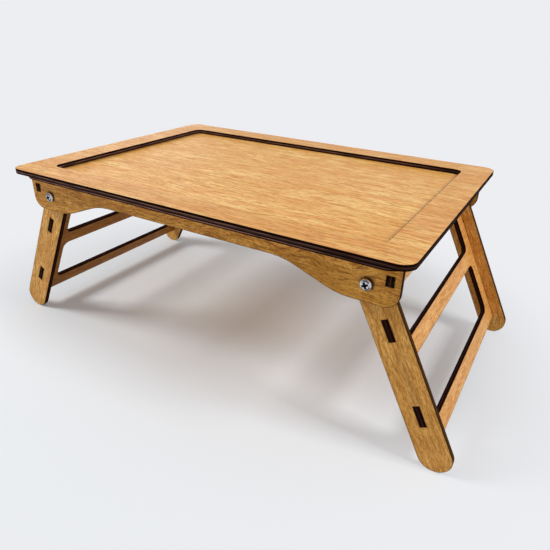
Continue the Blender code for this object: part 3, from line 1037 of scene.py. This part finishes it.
# ---------------------------------------------------------------- studio


def seen_directly(tree):
    """1 for what the camera, a reflection or glass sees, 0 for light that falls on things."""
    path = tree.nodes.new("ShaderNodeLightPath").outputs
    seen = plus(tree, path["Is Camera Ray"], path["Is Glossy Ray"])
    return maths(tree, "ADD", seen, path["Is Transmission Ray"], clamp=True)


def make_floor():
    """A plain pale floor, wide enough for every view, lost in the backdrop away from the tray."""
    mesh = bpy.data.meshes.new("floor")
    far = FLOOR_REACH
    corners = [(-far, -far, 0), (far, -far, 0), (far, far, 0), (-far, far, 0)]
    mesh.from_pydata(corners, [], [(0, 1, 2, 3)])
    floor = bpy.data.objects.new("floor", mesh)
    bpy.context.scene.collection.objects.link(floor)
    material, tree, shader = new_material("pale_floor")
    shader.inputs["Base Color"].default_value = FLOOR_COLOUR
    shader.inputs["Roughness"].default_value = 0.8
    shader.inputs["Specular IOR Level"].default_value = 0.1
    place = tree.nodes.new("ShaderNodeTexCoord").outputs["Object"]
    away = vector_maths(tree, "DISTANCE", place, SHADOW_MIDDLE)
    share = times(
        tree, seen_directly(tree), remap(tree, away, SHADOW_REACH, GLOW_REACH, LEAST_GLOW, 1.0)
    )
    glow = add_node(tree, "ShaderNodeEmission", {"Color": BACKDROP, "Strength": 1.0})
    both = add_node(
        tree, "ShaderNodeMixShader", {0: share, 1: shader.outputs[0], 2: glow.outputs[0]}
    )
    tree.links.new(both.outputs[0], tree.nodes["Material Output"].inputs[0])
    mesh.materials.append(material)


def make_soft_box(name, place, target, size, power, colour):
    """A soft square lamp that points at a target and is itself not in the picture."""
    lamp = bpy.data.lights.new(name, "AREA")
    lamp.shape = "SQUARE"
    lamp.size = size
    lamp.energy = power
    lamp.color = colour
    box = bpy.data.objects.new(name, lamp)
    box.visible_camera = False
    box.location = place
    box.rotation_euler = (Vector(target) - Vector(place)).to_track_quat("-Z", "Y").to_euler()
    bpy.context.scene.collection.objects.link(box)


def make_lights():
    """Soft boxes like two windows, left and right of the tray, and a sheen from behind it."""
    make_soft_box(
        "left_window", place=(-1.58, -0.78, 1.65), target=(0.0, 0.0, 0.0),
        size=0.72, power=28.6, colour=(0.98, 1.0, 1.0),
    )
    make_soft_box(
        "right_window", place=(1.64, -0.03, 1.60), target=(0.0, 0.0, 0.0),
        size=0.60, power=20.8, colour=(0.99, 1.0, 1.0),
    )
    make_soft_box(
        "back_left_sheen", place=(-2.0, 1.7, 0.6), target=(-0.1, 0.0, 0.2),
        size=0.9, power=3.0, colour=(1.0, 0.98, 0.97),
    )


def make_world():
    """Soft light from all round, seen as the backdrop by the camera and in reflections."""
    world = bpy.data.worlds.new("studio")
    bpy.context.scene.world = world
    world.use_nodes = True
    tree = world.node_tree
    tree.nodes.clear()
    seen = seen_directly(tree)
    soft = add_node(
        tree, "ShaderNodeBackground", {"Color": SOFT_COLOUR, "Strength": SOFT_STRENGTH}
    )
    backdrop = add_node(tree, "ShaderNodeBackground", {"Color": BACKDROP, "Strength": 1.0})
    both = add_node(
        tree, "ShaderNodeMixShader", {0: seen, 1: soft.outputs[0], 2: backdrop.outputs[0]}
    )
    add_node(tree, "ShaderNodeOutputWorld", {0: both.outputs[0]})


def make_camera():
    """The camera of the photograph, found by fitting the tray's corners."""
    yaw, pitch, roll = CAMERA_YAW, CAMERA_PITCH, CAMERA_ROLL
    ahead = Vector(
        (math.sin(yaw) * math.cos(pitch), math.cos(yaw) * math.cos(pitch), -math.sin(pitch))
    )
    level = Vector((math.cos(yaw), -math.sin(yaw), 0.0))
    lifted = level.cross(ahead)
    right = level * math.cos(roll) + lifted * math.sin(roll)
    up = lifted * math.cos(roll) - level * math.sin(roll)
    lens = bpy.data.cameras.new("camera")
    lens.sensor_width = CAMERA_SENSOR
    lens.lens = CAMERA_LENS
    lens.clip_start = 0.01
    camera = bpy.data.objects.new("camera", lens)
    bpy.context.scene.collection.objects.link(camera)
    camera.matrix_world = (
        Matrix.Translation(CAMERA_PLACE) @ Matrix((right, up, -ahead)).transposed().to_4x4()
    )
    bpy.context.scene.camera = camera


make_top()
make_aprons_and_bars()
make_leg_sets()
make_fasteners()
make_floor()
make_lights()
make_world()
make_camera()
bpy.context.scene.view_settings.view_transform = "Standard"
